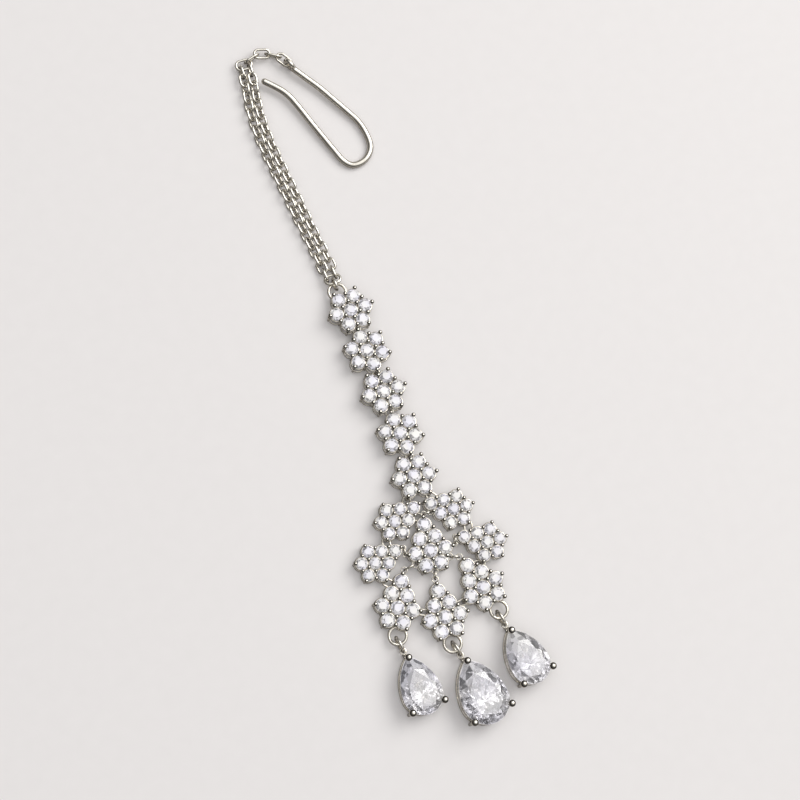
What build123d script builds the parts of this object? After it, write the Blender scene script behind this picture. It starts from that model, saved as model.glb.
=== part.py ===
from build123d import *
import os
from math import atan2, cos, degrees, radians, sin, sqrt

# Maang tikka, laid out flat: a hair hook, a double chain, a line of five stone clusters, a wreath of
# eight petal clusters and three pear drops. Units are millimetres, the table top is Z = 0.

# Layout: the tables below are in the layout's own axes; the model's box is centred by this offset.
MIDDLE_X, MIDDLE_Y = -3.09, 4.86

# Clusters of round stones
STONE_SHARE = 0.862  # stone diameter over pitch
CULET_Z, GIRDLE_Z, GIRDLE_THICK, TABLE_Z = 1.05, 1.97, 0.08, 2.38
TABLE_SHARE, CULET_SHARE = 0.6, 0.04  # table and culet over the stone's own outline
STONE_SIDES = 12
RAIL_OUT, RAIL_IN = 0.05, 0.4  # rail beyond half the pitch; open middle as a share of the pitch
BASE_TOP = 0.3
SEAT_LOW, SEAT_TOP = 1.45, 1.8
POST_SHARE, POST_TOP = 0.078, 2.42
BALL_SHARE = 0.122
INNER, NOTCH, TIP, TIP_BALL, SIDE = 0.577, 1.1, 1.52, 1.47, 1.528  # post distances over the pitch
SIDE_TURN = 19.1  # degrees of a side post away from the extra stone's direction
EXTRA_SPREAD = 35  # a tip post this near the extra stone's direction, in degrees, is left out
LEAN = 4.5  # degrees by which the line's clusters lie up on one another
LEAN_TOWARD = 70.0
FOOT = 4.05  # the low edge's distance from the middle of a leaning cluster

# Loops, rings and links
LOOP_OUTER, LOOP_WIRE = 3.4, 0.52
RING_WIRE, RING_WIDTH, RING_SLACK, RING_Z = 0.36, 1.6, 1.32, 0.9
NARROW_RING = 1.3  # width of the two rings beside the bottom petal
LOW_RING_Z = 0.57  # a ring below an eyelet on the same post
NOTCH_RING_Z = (0.84, 1.16)  # ring heights on a leaning cluster's notch post and on the one below
TIP_RING_Z = (0.6, 0.95)  # the same where the leaning cluster's post is a tip post
UPRIGHT_WIRE, DROP_WIRE = 0.32, 0.5
TABLE_GAP = 0.02  # between a standing ring and the table top
LINK_LONG, LINK_WIDE, LINK_WIRE, LINK_PITCH = 2.6, 1.9, 0.44, 1.52
LINK_ROLL, END_TWISTS = 45, (35, 21, 12, 5)  # link roll, and what is added towards a strand's ends
STRAND_LINKS, STRAND_APART, STRAND_START = 26, 1.54, 1.42
LEAD_LONG, LEAD_WIDE, LEAD_WIRE = 3.1, 1.9, 0.44
OVAL_LONG, OVAL_WIDE, OVAL_WIRE, END_RING_TILT = 3.1, 2.05, 0.42, 20.0
CONNECTOR_OUTER, CONNECTOR_WIRE = 2.4, 0.42

# Hair hook
HOOK_WIRE, HOOK_RISE = 1.08, 2.06  # wire diameter; degrees of rise from the bend to the eye
EYE_RADIUS, EYE_WIRE = 0.9, 0.8

# name: x, y, direction of the first stone, pitch, direction of the extra stone, lean
CLUSTERS = {
    "line_1": (-3.10, 16.55, 1.3, 2.55, None, LEAN),
    "line_2": (-2.87, 9.18, 35.1, 2.55, None, LEAN),
    "line_3": (-2.58, 1.82, 59.9, 2.55, None, LEAN),
    "line_4": (-2.36, -5.71, 35.0, 2.55, None, LEAN),
    "line_5": (-2.61, -13.16, 52.9, 2.55, None, LEAN),
    "petal_upper_left": (-8.14, -19.03, 46.8, 2.25, 16.8, 0.0),
    "petal_upper_right": (1.83, -20.27, 58.0, 2.25, 148.0, 0.0),
    "petal_middle_left": (-13.52, -24.48, 42.7, 2.25, 12.7, 0.0),
    "petal_middle_right": (5.23, -27.21, 57.7, 2.25, 147.7, 0.0),
    "petal_lower_left": (-12.52, -32.50, 32.1, 2.55, 62.1, 0.0),
    "petal_lower_right": (2.02, -33.98, 16.5, 2.55, 106.5, 0.0),
    "petal_bottom": (-5.59, -36.47, 55.6, 2.55, 85.6, 0.0),
    "centre": (-4.18, -25.47, 53.4, 2.55, 83.4, 0.0),
}

# cluster: distance, direction and height of the soldered loop a ring hangs in
LOOPS = {
    "line_1": (3.98, 103.3, 0.99),
    "petal_lower_left": (4.47, 251.6, 1.0),
    "petal_lower_right": (4.47, 287.2, 1.0),
    "petal_bottom": (4.40, 267.1, 1.0),
}

# Lying rings round two posts: upper cluster, its post, lower cluster, its post, ring width
FLAT_JOINTS = [
    ("line_1", "notch4", "line_2", "tip1", RING_WIDTH),
    ("line_2", "tip4", "line_3", "notch0", RING_WIDTH),
    ("line_3", "notch3", "line_4", "tip1", RING_WIDTH),
    ("line_4", "tip4", "line_5", "notch0", RING_WIDTH),
    ("line_5", "tip3", "petal_upper_left", "side+", RING_WIDTH),
    ("line_5", "tip4", "petal_upper_right", "side-", RING_WIDTH),
    ("petal_upper_left", "tip3", "petal_middle_left", "side+", RING_WIDTH),
    ("petal_upper_right", "tip4", "petal_middle_right", "side-", RING_WIDTH),
    ("petal_middle_right", "tip3", "petal_lower_right", "side-", RING_WIDTH),
    ("petal_middle_left", "tip4", "petal_lower_left", "side+", RING_WIDTH),
    ("petal_upper_left", "side-", "centre", "extra", RING_WIDTH),
    ("petal_lower_left", "tip5", "petal_bottom", "notch1", NARROW_RING),
    ("petal_bottom", "notch5", "petal_lower_right", "tip3", NARROW_RING),
]

# Upright rings through two small eyelets: cluster, its post, cluster, its post
UPRIGHT_JOINTS = [
    ("centre", "extra", "petal_upper_right", "side+"),
    ("centre", "tip2", "petal_middle_left", "extra"),
    ("centre", "tip5", "petal_middle_right", "extra"),
    ("centre", "notch4", "petal_lower_right", "extra"),
    ("centre", "notch2", "petal_lower_left", "extra"),
    ("centre", "notch3", "petal_bottom", "extra"),
]
EYELET_LOW, EYELET_TOP = 1.5, 1.75
EYELET_RIM, EYELET_BURIED = 0.2, 0.2  # rim width; how much smaller the hole is than its reach
EYELET_REACH = (0.45, 0.6)  # least and most from the post's axis to the hole's middle
EYELETS_APART = 1.0  # between the holes of a pair, where their posts leave room for it

# Pears: x, y of the round end's middle, direction of the tip, width, length, direction of the prongs
# below the cross axis, heights of the girdle and table, direction and outer diameter of the drop ring
PEARS = {
    "left": (-13.58, -47.0, 93.0, 6.6, 10.0, 36.6, 3.05, 4.15, 98.3, 3.1),
    "middle": (-4.26, -51.32, 97.0, 7.8, 11.3, 33.8, 3.4, 4.65, 104.0, 3.1),
    "right": (4.80, -48.33, 101.5, 6.6, 10.0, 36.6, 3.05, 4.15, 101.2, 3.1),
}
PEAR_CULET, PEAR_GIRDLE, PEAR_SIDES = 0.2, 0.15, 24
BAND_WIDE, BAND_THICK, BAND_UPPER = 0.45, 0.35, 1.9
PRONG_BALL, PRONG_OUT, PRONG_POST, PRONG_POST_OUT, PRONG_RISE = 0.6, 0.22, 0.3, 0.38, 0.7
TIP_POST, TIP_POST_OUT, TIP_BALL_IN, TIP_RISE = 0.25, 0.3, 0.35, 0.8
TAB_WIDE, TAB_LONG, TAB_OUT = 0.36, 0.75, 0.13  # little bridges from the bands to the prongs
BAIL_Z, BAIL_THICK, BAIL_HOLE, BAIL_OUTER = 1.4, 0.3, 0.72, 1.26
BAIL_GAP = 0.06

# Hook's own axes: origin, direction of its length; points are along and across
HOOK_AT, HOOK_TURN = (7.3, 43.5), 116.0
HOOK_LINE = [
    (16.9, 2.28), (13.95, 2.77), (11.32, 3.21), (8.54, 3.45), (5.49, 3.71), (2.85, 3.83),
    (0.49, 3.36), (-1.63, 2.33), (-2.63, 0.73), (-2.67, -1.0), (-1.88, -2.44), (-0.23, -3.0),
    (2.4, -2.82), (5.44, -2.52), (8.51, -2.2), (11.29, -1.87), (13.36, -1.71), (14.96, -1.8),
    (16.68, -2.26), (18.59, -2.95),
]
HOOK_EYE = (17.82, 2.33)
HOOK_LOW = -3.3  # along, where the bend's outside touches the table

# Lead links from the hook's eye to the top ring: x, y, z, direction, rise, roll
LEAD_LINKS = [
    (0.95, 61.68, 1.2, 125.5, 2.5, 0.5),
    (-0.52, 62.96, 1.12, 149, -3.5, 78),
    (-2.25, 63.76, 1.19, 166.5, 4.5, -5.5),
    (-4.22, 63.46, 1.19, 196.5, -2.5, 85),
]
TOP_RING_AT = (-5.82, 62.83, 1.04)

# Middle line of the double chain: x, y, z
CHAIN_LINE = [
    (-5.86, 63.08, 1.01), (-5.83, 61.38, 0.97), (-6.6, 55.55, 0.77), (-6.73, 48.71, 0.76),
    (-5.86, 39.96, 0.76), (-4.92, 31.24, 0.77), (-4.2, 24.9, 0.92), (-4.05, 22.4, 1.07),
]
END_RING_AT = (-4.03, 22.77, 1.22)
CONNECTOR_AT, CONNECTOR_TURN = (-4.0, 21.78, 1.34), 93.0


def laid(x, y, z=0.0):
    """A point of the layout in the model's axes."""
    return Vector(x - MIDDLE_X, y - MIDDLE_Y, z)


def polar(radius, angle):
    return radius * cos(radians(angle)), radius * sin(radians(angle))


def turned(angle, other):
    """Degrees between two directions."""
    return abs((angle - other + 180) % 360 - 180)


def cluster_plane(name):
    """The plane a cluster's base lies in: local X keeps the layout's X."""
    x, y, _, _, _, lean = CLUSTERS[name]
    toward = polar(sin(radians(lean)), LEAN_TOWARD)
    normal = Vector(toward[0], toward[1], cos(radians(lean)))
    return Plane(laid(x, y, FOOT * sin(radians(lean))), x_dir=Vector(0, 1, 0).cross(normal), z_dir=normal)


def seats(name):
    """Middles of a cluster's stones."""
    _, _, turn, pitch, extra, _ = CLUSTERS[name]
    spots = [(0.0, 0.0)] + [polar(pitch, turn + 60 * k) for k in range(6)]
    if extra is not None:
        spots.append(polar(sqrt(3) * pitch, extra))
    return spots


def post_spots(name):
    """Each post's distance over the pitch and direction, and how far in its ball stands."""
    _, _, turn, _, extra, _ = CLUSTERS[name]
    posts = {}
    for k in range(6):
        tip, notch = turn + 60 * k, turn + 60 * k + 30
        posts[f"inner{k}"] = (INNER, notch, 0.0)
        if extra is None or turned(tip, extra) > EXTRA_SPREAD:
            posts[f"tip{k}"] = (TIP, tip, TIP - TIP_BALL)
        under = extra is not None and turned(notch, extra) < 1
        posts[f"notch{k}"] = (2 * INNER if under else NOTCH, notch, 0.0)
    if extra is not None:
        posts["side+"] = (SIDE, extra + SIDE_TURN, 0.0)
        posts["side-"] = (SIDE, extra - SIDE_TURN, 0.0)
        posts["extra"] = (sqrt(3) + TIP - 1, extra, TIP - TIP_BALL)
    return posts


def post_at(name, post, height=0.0):
    """Where a cluster's post stands in the model's axes."""
    share, angle, _ = post_spots(name)[post]
    x, y = polar(share * CLUSTERS[name][3], angle)
    return cluster_plane(name).from_local_coords(Vector(x, y, height))


def eyelet_at(name, post, other, far):
    """A small eyelet on a post, turned half way from outward to the other post: hole, how far out."""
    here, there = post_at(name, post), post_at(other, far)
    toward = (there - here).normalized()
    outward = (here - cluster_plane(name).origin).normalized()
    least, most = EYELET_REACH
    out = min(max(((there - here).length - EYELETS_APART) / 2, least), most)
    return here + (toward + outward).normalized() * out, out


def eyelets(name):
    """All small eyelets of a cluster."""
    found = []
    for first, post_a, second, post_b in UPRIGHT_JOINTS:
        if name == first:
            found.append(eyelet_at(first, post_a, second, post_b))
        if name == second:
            found.append(eyelet_at(second, post_b, first, post_a))
    return found


def tube_ring(plane, outer, wire):
    """A round wire ring in a plane."""
    with BuildPart(plane) as ring:
        Torus(outer / 2 - wire / 2, wire / 2)
    return ring.part


def wire_link(long, wide, wire):
    """A wire link round the origin, lying in XY with its length along X."""
    half, turn = (long - wide) / 2, (wide - wire) / 2
    with BuildPart() as link:
        with BuildLine():
            Line((-half, -turn), (half, -turn))
            ThreePointArc((half, -turn), (half + turn, 0), (half, turn))
            Line((half, turn), (-half, turn))
            ThreePointArc((-half, turn), (-half - turn, 0), (-half, -turn))
        with BuildSketch(Plane((0, -turn, 0), x_dir=(0, 1, 0), z_dir=(1, 0, 0))):
            Circle(wire / 2)
        sweep()
    return link.part


def round_stone(diameter):
    """A faceted round stone with a table, on the plane of its cluster's base."""
    radius = diameter / 2
    levels = [
        (CULET_Z, radius * CULET_SHARE),
        (GIRDLE_Z, radius),
        (GIRDLE_Z + GIRDLE_THICK, radius),
        (TABLE_Z, radius * TABLE_SHARE),
    ]
    with BuildPart() as stone:
        for (low, near), (high, far) in zip(levels, levels[1:]):
            with BuildSketch(Plane.XY.offset(low)):
                RegularPolygon(near, STONE_SIDES)
            with BuildSketch(Plane.XY.offset(high)):
                RegularPolygon(far, STONE_SIDES)
            loft(ruled=True)
    return stone.part


def soldered_loop(name):
    """The loop on a cluster's outer post that a ring hangs in."""
    distance, angle, height = LOOPS[name]
    base = cluster_plane(name)
    middle = base.from_local_coords(Vector(*polar(distance, angle), height))
    return tube_ring(Plane(middle, z_dir=base.z_dir), LOOP_OUTER, LOOP_WIRE)


def make_setting(name):
    """One cluster's soldered metal: rails, posts with their balls, loops and eyelets."""
    _, _, _, pitch, _, _ = CLUSTERS[name]
    base = cluster_plane(name)
    with BuildPart() as setting:
        for low, high in ((0.0, BASE_TOP), (SEAT_LOW, SEAT_TOP)):
            with BuildSketch(base.offset(low)):
                with Locations(*seats(name)):
                    Circle(pitch / 2 + RAIL_OUT)
                with Locations(*seats(name)):
                    Circle(pitch * RAIL_IN, mode=Mode.SUBTRACT)
            extrude(amount=high - low)
        spots = post_spots(name).values()
        with BuildSketch(base):
            with Locations(*[polar(share * pitch, angle) for share, angle, _ in spots]):
                Circle(POST_SHARE * pitch)
        extrude(amount=POST_TOP)
        for share, angle, lean_in in spots:
            x, y = polar((share - lean_in) * pitch, angle)
            with Locations(Location(base.from_local_coords(Vector(x, y, POST_TOP)))):
                Sphere(BALL_SHARE * pitch)
        if name in LOOPS:
            add(soldered_loop(name))
        for middle, out in eyelets(name):
            with BuildSketch(Plane(middle).offset(EYELET_LOW)):
                Circle(out - EYELET_BURIED + EYELET_RIM)
                Circle(out - EYELET_BURIED, mode=Mode.SUBTRACT)
            extrude(amount=EYELET_TOP - EYELET_LOW)
    return setting.part


def make_stones(name, stone):
    base = cluster_plane(name)
    with BuildPart() as stones:
        for x, y in seats(name):
            with Locations(base.location * Location((x, y, 0))):
                add(stone)
    return stones.part


def ring_plane(start, end, up):
    """The plane of a lying ring whose length runs from start to end."""
    along = (end - start).normalized()
    side = up.cross(along).normalized()
    return Plane((start + end) / 2, x_dir=along, z_dir=along.cross(side))


def flat_ring(first, post_a, second, post_b, width):
    """A lying ring round two posts, through the open gallery under the stones."""
    heights = (LOW_RING_Z, LOW_RING_Z) if second == "centre" else (RING_Z, RING_Z)
    if CLUSTERS[first][5] > 0:
        heights = NOTCH_RING_Z if post_a.startswith("notch") else TIP_RING_Z
    start, end = post_at(first, post_a, heights[0]), post_at(second, post_b, heights[1])
    plane = ring_plane(start, end, Vector(0, 0, 1))
    return wire_link((end - start).length + RING_SLACK, width, RING_WIRE).moved(plane.location)


def upright_ring(first, post_a, second, post_b):
    """A standing ring through the eyelets of two posts."""
    start, _ = eyelet_at(first, post_a, second, post_b)
    end, _ = eyelet_at(second, post_b, first, post_a)
    along, span = (end - start).normalized(), (end - start).length
    height = max((EYELET_LOW + EYELET_TOP) / 2, (span + UPRIGHT_WIRE) / 2 + TABLE_GAP)
    middle = (start + end) / 2 + Vector(0, 0, height)
    plane = Plane(middle, x_dir=along, z_dir=along.cross(Vector(0, 0, 1)))
    return tube_ring(plane, span + UPRIGHT_WIRE, UPRIGHT_WIRE)


def pear_points(width, length, inset, scale=1.0):
    """Corners of a pear outline, tip along +Y, moved in by inset."""
    tip = length - width / 2
    bend = (tip**2 + width**2 / 4) / width
    centre, radius = bend - width / 2, bend - inset
    end = degrees(atan2(sqrt(radius**2 - centre**2), centre))
    steps = PEAR_SIDES // 4
    right = [polar(radius, end * k / steps) for k in range(steps + 1)]
    right = [(x - centre, y) for x, y in right]
    low = [polar(width / 2 - inset, -180 * k / (2 * steps)) for k in range(1, 2 * steps)]
    left = [(-x, y) for x, y in reversed(right[:-1])]
    corners = right[::-1] + low + left[::-1]
    return [(x * scale, y * scale) for x, y in corners]


def pear_face(width, length, inset, scale=1.0, mode=Mode.ADD):
    Polygon(*pear_points(width, length, inset, scale), align=None, mode=mode)


def pear_plane(side):
    x, y, turn = PEARS[side][:3]
    return Plane(laid(x, y), x_dir=Vector(*polar(1, turn - 90)), z_dir=(0, 0, 1))


def bail_direction(side):
    """The drop ring's direction in the pear's own axes."""
    _, _, turn, _, _, _, _, _, ring_turn, _ = PEARS[side]
    return ring_turn - turn + 90


def make_pear_stone(side):
    _, _, _, width, length, _, girdle, table, _, _ = PEARS[side]
    base = pear_plane(side)
    levels = [(PEAR_CULET, CULET_SHARE), (girdle, 1.0), (girdle + PEAR_GIRDLE, 1.0), (table, TABLE_SHARE)]
    with BuildPart() as stone:
        for (low, near), (high, far) in zip(levels, levels[1:]):
            with BuildSketch(base.offset(low)):
                pear_face(width, length, 0, near)
            with BuildSketch(base.offset(high)):
                pear_face(width, length, 0, far)
            loft(ruled=True)
    return stone.part


def make_pear_setting(side):
    """A pear's soldered metal: two bands, three prongs and the bail eyelet at the tip."""
    _, _, _, width, length, prong_turn, girdle, _, _, _ = PEARS[side]
    base, tip = pear_plane(side), length - width / 2
    prongs = [(width / 2, -prong_turn), (width / 2, 180 + prong_turn)]
    top = girdle + PEAR_GIRDLE
    with BuildPart() as setting:
        for low in (0.0, BAND_UPPER):
            with BuildSketch(base.offset(low)):
                pear_face(width, length, 0)
                pear_face(width, length, BAND_WIDE, mode=Mode.SUBTRACT)
                with Locations((0, tip + TIP_POST_OUT - TAB_LONG / 2)):
                    Rectangle(TAB_WIDE, TAB_LONG)
                for radius, angle in prongs:
                    with Locations(Location((*polar(radius + TAB_OUT, angle), 0), angle)):
                        Rectangle(TAB_LONG, TAB_WIDE)
            extrude(amount=BAND_THICK)
        with BuildSketch(base):
            with Locations(*[polar(radius + PRONG_POST_OUT, angle) for radius, angle in prongs]):
                Circle(PRONG_POST)
        extrude(amount=top + PRONG_RISE)
        with BuildSketch(base):
            with Locations((0, tip + TIP_POST_OUT)):
                Circle(TIP_POST)
        extrude(amount=top + TIP_RISE)
        balls = [(*polar(radius + PRONG_OUT, angle), top + PRONG_RISE) for radius, angle in prongs]
        for spot in balls + [(0, tip - TIP_BALL_IN, top + TIP_RISE)]:
            with Locations(Location(base.from_local_coords(Vector(*spot)))):
                Sphere(PRONG_BALL)
        out_x, out_y = polar(TIP_POST + BAIL_HOLE / 2, bail_direction(side))
        with BuildSketch(base.offset(BAIL_Z)):
            with Locations((out_x, tip + TIP_POST_OUT + out_y)):
                Circle(BAIL_OUTER / 2)
                Circle(BAIL_HOLE / 2, mode=Mode.SUBTRACT)
        extrude(amount=BAIL_THICK)
    return setting.part


def drop_ring(side):
    """A standing ring through a soldered loop and the pear's bail eyelet."""
    _, _, _, width, length, _, _, _, ring_turn, outer = PEARS[side]
    tip = length - width / 2
    post = pear_plane(side).from_local_coords(Vector(0, tip + TIP_POST_OUT, 0))
    along = Vector(*polar(1, ring_turn))
    out = TIP_POST + BAIL_GAP + outer / 2
    middle = post + along * out + Vector(0, 0, outer / 2 + TABLE_GAP)
    return tube_ring(Plane(middle, x_dir=along, z_dir=along.cross(Vector(0, 0, 1))), outer, DROP_WIRE)


def make_hook():
    """The bent wire hook with its round eye."""
    rise = radians(HOOK_RISE)
    turn_x, turn_y = polar(1, HOOK_TURN)
    along = Vector(turn_x * cos(rise), turn_y * cos(rise), sin(rise))
    across = Vector(turn_y, -turn_x, 0)
    low = HOOK_WIRE / 2 - HOOK_LOW * sin(rise)
    plane = Plane(laid(*HOOK_AT, low), x_dir=along, z_dir=along.cross(across))
    points = [plane.from_local_coords(Vector(*point, 0)) for point in HOOK_LINE]
    eye = plane.from_local_coords(Vector(*HOOK_EYE, 0))
    with BuildPart() as hook:
        with BuildLine() as line:
            Spline(*points)
        with BuildSketch(Plane(line.line @ 0, z_dir=line.line % 0)):
            Circle(HOOK_WIRE / 2)
        sweep()
        with Locations(Location(points[-1])):
            Sphere(HOOK_WIRE / 2)
        add(tube_ring(Plane(eye, x_dir=along, z_dir=across), 2 * EYE_RADIUS + EYE_WIRE, EYE_WIRE))
    return hook.part


def strand_places(aside):
    """Link places along one strand of the chain, set aside from its middle line."""
    path = Spline(*[laid(*point) for point in CHAIN_LINE])
    places = []
    for k in range(STRAND_LINKS):
        distance = STRAND_START + k * LINK_PITCH
        spot = path.position_at(distance, position_mode=PositionMode.LENGTH)
        along = path.tangent_at(distance, position_mode=PositionMode.LENGTH)
        side = Vector(0, 0, 1).cross(along).normalized()
        plane = Plane(spot + side * aside, x_dir=along, z_dir=along.cross(side))
        last = STRAND_LINKS - 1 - k
        twist = END_TWISTS[k] if k < len(END_TWISTS) else 0
        if last < len(END_TWISTS):
            twist = -END_TWISTS[last]
        roll = twist + (LINK_ROLL if k % 2 == 0 else -LINK_ROLL)
        places.append(plane.location * Location((0, 0, 0), (roll, 0, 0)))
    return places


def lead_place(x, y, z, turn, rise, roll):
    """Where a lead link lies: its length points along turn and rise."""
    flat_x, flat_y = polar(cos(radians(rise)), turn)
    along = Vector(flat_x, flat_y, sin(radians(rise)))
    side = Vector(0, 0, 1).cross(along)
    plane = Plane(laid(x, y, z), x_dir=along, z_dir=along.cross(side))
    return plane.location * Location((0, 0, 0), (roll, 0, 0))


def write(part, name):
    part.label = name
    export_step(part, f"parts/{name}.step")


os.makedirs("parts", exist_ok=True)

write(make_hook(), "hair_hook")

link = wire_link(LINK_LONG, LINK_WIDE, LINK_WIRE)
for name, side in (("chain_left", -1), ("chain_right", 1)):
    with BuildPart() as chain:
        with Locations(*strand_places(side * STRAND_APART / 2)):
            add(link)
    write(chain.part, name)

oval = wire_link(OVAL_LONG, OVAL_WIDE, OVAL_WIRE)
lead_link = wire_link(LEAD_LONG, LEAD_WIDE, LEAD_WIRE)
with BuildPart() as lead:
    with Locations(*[lead_place(*row) for row in LEAD_LINKS]):
        add(lead_link)
    with Locations(Location(laid(*TOP_RING_AT))):
        add(oval)
write(lead.part, "chain_lead")

with BuildPart() as end_ring:
    with Locations(Location(laid(*END_RING_AT), (-END_RING_TILT, 0, 0))):
        add(oval)
write(end_ring.part, "chain_end_ring")

along = Vector(*polar(1, CONNECTOR_TURN))
standing = Plane(laid(*CONNECTOR_AT), x_dir=along, z_dir=along.cross(Vector(0, 0, 1)))
write(tube_ring(standing, CONNECTOR_OUTER, CONNECTOR_WIRE), "chain_connector")

stone_of = {pitch: round_stone(pitch * STONE_SHARE) for pitch in (2.55, 2.25)}
for name in CLUSTERS:
    write(make_setting(name), f"{name}_setting")
    write(make_stones(name, stone_of[CLUSTERS[name][3]]), f"{name}_stones")

for joint in FLAT_JOINTS:
    write(flat_ring(*joint), f"ring_{joint[0]}_{joint[2]}")
for joint in UPRIGHT_JOINTS:
    write(upright_ring(*joint), f"ring_{joint[0]}_{joint[2]}")

for side in PEARS:
    write(make_pear_setting(side), f"pear_{side}_setting")
    write(make_pear_stone(side), f"pear_{side}_stone")
    write(drop_ring(side), f"drop_ring_{side}")
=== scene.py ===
# %% [markdown]
# # A maang tikka in bright metal and clear stones
#
# A maang tikka is worn in the parting of the hair. A wire hook holds it, a double chain runs down the
# parting, and clusters of small stones with three pear drops lie on the forehead. The CAD model gives
# every place and size. This lesson dresses it: cut stones, polished wire, ball prongs, light and camera.

# %% Load the frame
from math import cos, pi, radians, sin, sqrt

import bmesh
import bpy
import numpy as np
from mathutils import Matrix, Vector


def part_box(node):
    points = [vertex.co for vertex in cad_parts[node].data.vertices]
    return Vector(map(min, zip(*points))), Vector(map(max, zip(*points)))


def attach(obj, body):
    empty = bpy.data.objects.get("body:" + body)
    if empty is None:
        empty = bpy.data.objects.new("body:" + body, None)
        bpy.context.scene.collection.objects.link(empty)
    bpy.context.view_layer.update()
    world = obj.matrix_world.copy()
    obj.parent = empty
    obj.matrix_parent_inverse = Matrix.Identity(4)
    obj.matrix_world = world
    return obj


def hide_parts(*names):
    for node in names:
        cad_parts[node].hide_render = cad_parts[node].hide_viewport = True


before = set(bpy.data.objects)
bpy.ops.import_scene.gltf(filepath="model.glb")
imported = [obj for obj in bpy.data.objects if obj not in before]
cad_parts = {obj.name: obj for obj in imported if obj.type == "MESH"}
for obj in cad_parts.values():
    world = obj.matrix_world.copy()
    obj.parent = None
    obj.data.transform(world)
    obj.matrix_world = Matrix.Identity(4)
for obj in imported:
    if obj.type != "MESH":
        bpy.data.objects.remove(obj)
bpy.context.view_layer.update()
mm = 0.001

# %% [markdown]
# ## Reading places from the CAD
#
# A chain is one node with many loose links in it, and a cluster's stones are one node too. Each link or
# stone is an island of its mesh. Walking from corner to corner over the edges finds the islands, and the
# directions in which an island's corners spread most and least say how the piece lies. Typing the places
# in by hand would work too, but then a change in the CAD would leave the looks behind.


# %% Islands of a node
SAME_CORNER = 1e-4 * mm  # corners closer than this are one


def islands(name):
    """The loose solids of a CAD node, each an array of its corners in metres."""
    merged = bmesh.new()
    merged.from_mesh(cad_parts[name].data)
    bmesh.ops.remove_doubles(merged, verts=merged.verts, dist=SAME_CORNER)
    unseen, found = dict.fromkeys(merged.verts), []
    while unseen:
        edge_of_search = [unseen.popitem()[0]]
        island = []
        while edge_of_search:
            corner = edge_of_search.pop()
            island.append(tuple(corner.co))
            for edge in corner.link_edges:
                other = edge.other_vert(corner)
                if other in unseen:
                    del unseen[other]
                    edge_of_search.append(other)
        found.append(np.array(island))
    merged.free()
    return sorted(found, key=lambda island: tuple(island.mean(0)))


def lie_of(island):
    """An island's middle, its three axes from the longest to the shortest, and its extent along each."""
    mean = island.mean(0)
    axes = np.linalg.svd(island - mean, full_matrices=False)[2]
    axes[2] = np.cross(axes[0], axes[1])
    spread = (island - mean) @ axes.T
    low, high = spread.min(0), spread.max(0)
    return mean + (low + high) / 2 @ axes, axes, high - low


def unit(vector):
    """A vector's direction."""
    return vector / np.linalg.norm(vector)


print("links in the left strand:", len(islands("chain_left")))

# %% [markdown]
# ## Tools for growing meshes
#
# Links, stones, prongs and rails repeat, so Geometry Nodes place them: a mesh of bare points says where,
# and the tree says what. Each point carries its turn as an attribute, and an integer that says which
# kind of piece stands there. The grown result is turned into a plain mesh, so no modifier is left.


# %% Objects, meshes and seeds
def new_object(name, data):
    """An object in the scene, at the origin."""
    made = bpy.data.objects.new(name, data)
    bpy.context.scene.collection.objects.link(made)
    return made


def plain_mesh(name, shape, material):
    """A mesh made of a bmesh, in one material."""
    mesh = bpy.data.meshes.new(name)
    shape.to_mesh(mesh)
    shape.free()
    mesh.materials.append(material)
    return mesh


def smooth_piece(name, shape, material):
    """An object made of a bmesh, with smooth shading."""
    mesh = plain_mesh(name, shape, material)
    mesh.shade_smooth()
    return new_object(name, mesh)


def add_ball(shape, place, radius, segments, rows):
    """Adds a ball to a bmesh."""
    place = Matrix.Translation(place)
    bmesh.ops.create_uvsphere(shape, u_segments=segments, v_segments=rows, radius=radius, matrix=place)


def turn_of(axes):
    """The rotation that lays X, Y and Z along three axes."""
    return Matrix([list(axis) for axis in axes]).transposed()


def seed_points(name, rows):
    """Bare points for a tree. Each row is a place, three axes as a matrix's rows, and a kind."""
    mesh = bpy.data.meshes.new(name)
    mesh.from_pydata([tuple(place) for place, _, _ in rows], [], [])
    turns = [tuple(turn_of(axes).to_euler()) for _, axes, _ in rows]
    mesh.attributes.new("turn", "FLOAT_VECTOR", "POINT").data.foreach_set("vector", np.ravel(turns))
    kinds = [number for _, _, number in rows]
    mesh.attributes.new("kind", "INT", "POINT").data.foreach_set("value", kinds)
    return mesh


def seed_line(name, places, closed):
    """A line of edges through places, which a tree turns into a curve."""
    count = len(places)
    edges = [(k, (k + 1) % count) for k in range(count if closed else count - 1)]
    mesh = bpy.data.meshes.new(name)
    mesh.from_pydata([tuple(place) for place in places], edges, [])
    return mesh


# %% Trees and their nodes
def new_tree(name, sizes):
    """A Geometry Nodes tree with a geometry in and out and named inputs for its sizes."""
    tree = bpy.data.node_groups.new(name, "GeometryNodeTree")
    tree.interface.new_socket("Geometry", in_out="INPUT", socket_type="NodeSocketGeometry")
    tree.interface.new_socket("Geometry", in_out="OUTPUT", socket_type="NodeSocketGeometry")
    for size in sizes:
        tree.interface.new_socket(size, in_out="INPUT", socket_type="NodeSocketFloat")
    tree.interface.new_socket("Material", in_out="INPUT", socket_type="NodeSocketMaterial")
    return tree, tree.nodes.new("NodeGroupInput").outputs, tree.nodes.new("NodeGroupOutput").inputs


def feed(tree, socket, value):
    """Links a node's input to a socket, or sets it to a value."""
    if isinstance(value, bpy.types.NodeSocket):
        tree.links.new(value, socket)
    else:
        socket.default_value = value


def node(tree, kind, **inputs):
    """A node of a tree, with its inputs linked to sockets or set to values by name."""
    made = tree.nodes.new(kind)
    for label, value in inputs.items():
        feed(tree, made.inputs[label.replace("_", " ")], value)
    return made


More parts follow.
